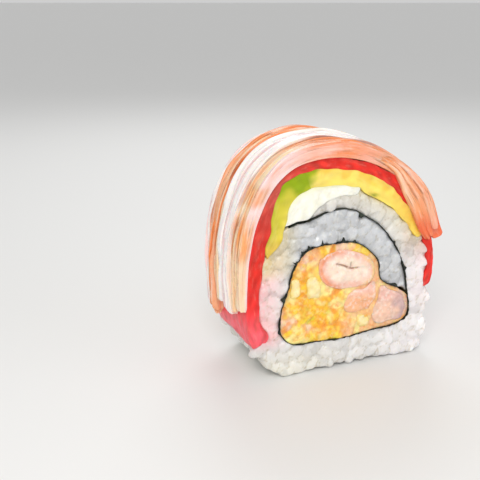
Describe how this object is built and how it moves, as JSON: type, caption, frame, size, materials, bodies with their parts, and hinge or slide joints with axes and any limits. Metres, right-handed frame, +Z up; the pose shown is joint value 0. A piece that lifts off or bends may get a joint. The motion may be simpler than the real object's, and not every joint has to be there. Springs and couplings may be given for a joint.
{
  "type": "uramaki roll piece",
  "caption": "One cut piece of an inside-out sushi roll: rice round a nori sheet and a shrimp filling, draped with avocado, tuna and crab strips, standing on a flat foot of rice.",
  "frame": {"origin": "bottom centre of the whole piece's box, on the table", "axes": "+Z up, Y along the roll's axis with the cut face seen in the picture towards -Y, X across the cut face with the longer crab ends towards -X"},
  "size_m": [0.0464, 0.0212, 0.0479],
  "materials": {
    "rice_white": "moist cooked rice",
    "nori_dark": "damp pressed seaweed",
    "mix_yellow": "moist crumbly filling",
    "shrimp_pink": "moist cooked shrimp",
    "block_cream": "soft cooked",
    "cheese_white": "soft, slightly moist",
    "avocado_green": "soft, slightly moist",
    "avocado_yellow": "soft, slightly moist",
    "tuna_red": "moist raw fish",
    "crab_pink": "moist fibrous crab meat"
  },
  "bodies": {
    "root": {"rice": "rice_white", "nori": "nori_dark", "filling_mix": "mix_yellow", "shrimp_top": "shrimp_pink", "shrimp_middle": "shrimp_pink", "shrimp_side": "shrimp_pink", "pale_block_1": "block_cream", "pale_block_2": "block_cream", "pale_block_3": "block_cream", "cream_cheese": "cheese_white", "avocado_left": "avocado_green", "avocado_right": "avocado_yellow", "tuna": "tuna_red", "crab_strip_front": "crab_pink", "crab_strip_second": "crab_pink", "crab_strip_third": "crab_pink", "crab_strip_fourth": "crab_pink", "crab_strip_back": "crab_pink"}
  },
  "joints": []
}
